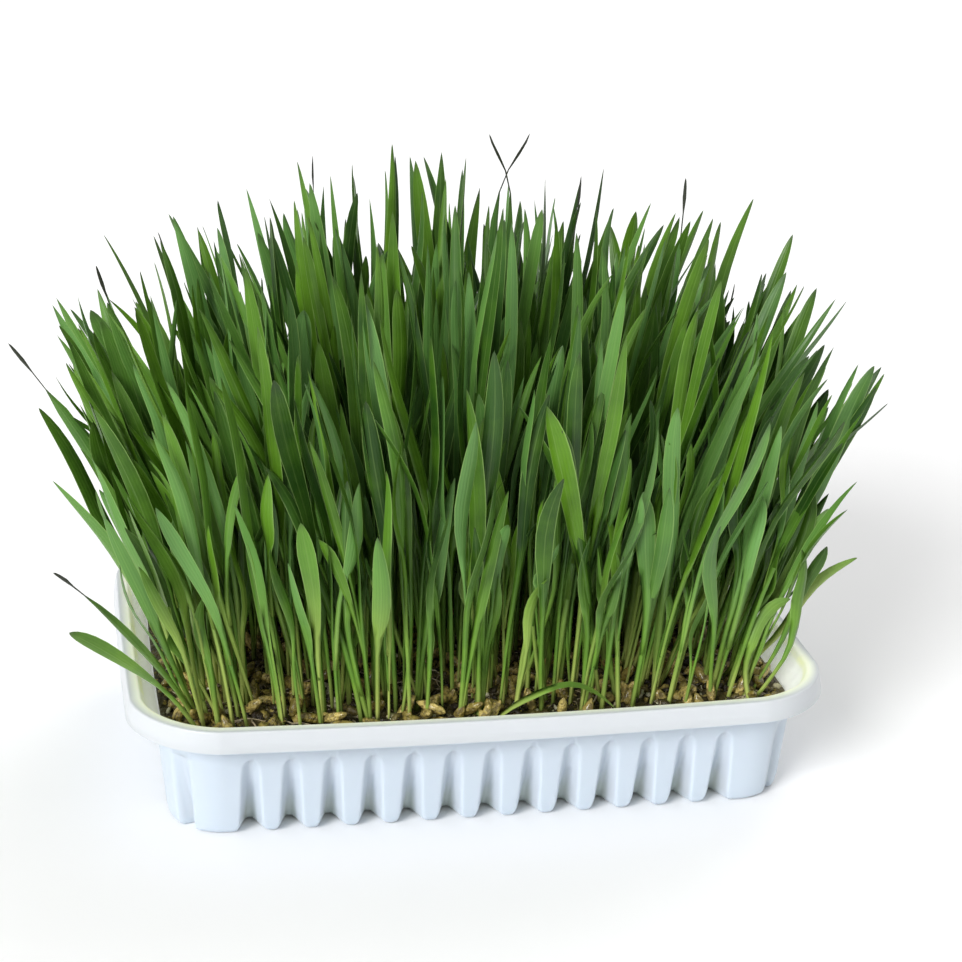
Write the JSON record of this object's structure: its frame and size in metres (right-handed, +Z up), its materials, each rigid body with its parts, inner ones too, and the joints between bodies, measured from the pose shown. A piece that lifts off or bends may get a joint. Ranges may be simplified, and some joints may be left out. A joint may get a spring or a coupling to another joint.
{
  "type": "wheatgrass tray",
  "caption": "White ribbed plastic tray filled with dark soil and a dense stand of young green wheatgrass.",
  "frame": {"origin": "the middle of the tray's flat underside", "axes": "+Z up out of the tray, X along the tray's long sides, and the long side at -Y is the front"},
  "size_m": [0.243, 0.1489, 0.169],
  "materials": {
    "white_plastic": "thin formed white plastic, satin gloss, slightly bluish in the shade",
    "damp_soil": null,
    "living_grass": "living wheat leaves, satin mid green with a fine lengthwise grain, on pale yellow-green stems"
  },
  "bodies": {
    "root": {"tray": "white_plastic", "soil": "damp_soil", "clump_1_1": "living_grass", "clump_1_2": "living_grass", "clump_1_3": "living_grass", "clump_1_4": "living_grass", "clump_1_5": "living_grass", "clump_1_6": "living_grass", "clump_1_7": "living_grass", "clump_2_1": "living_grass", "clump_2_2": "living_grass", "clump_2_3": "living_grass", "clump_2_4": "living_grass", "clump_2_5": "living_grass", "clump_2_6": "living_grass", "clump_2_7": "living_grass", "clump_3_1": "living_grass", "clump_3_2": "living_grass", "clump_3_3": "living_grass", "clump_3_4": "living_grass", "clump_3_5": "living_grass", "clump_3_6": "living_grass", "clump_3_7": "living_grass", "clump_4_1": "living_grass", "clump_4_2": "living_grass", "clump_4_3": "living_grass", "clump_4_4": "living_grass", "clump_4_5": "living_grass", "clump_4_6": "living_grass", "clump_4_7": "living_grass"}
  },
  "joints": []
}
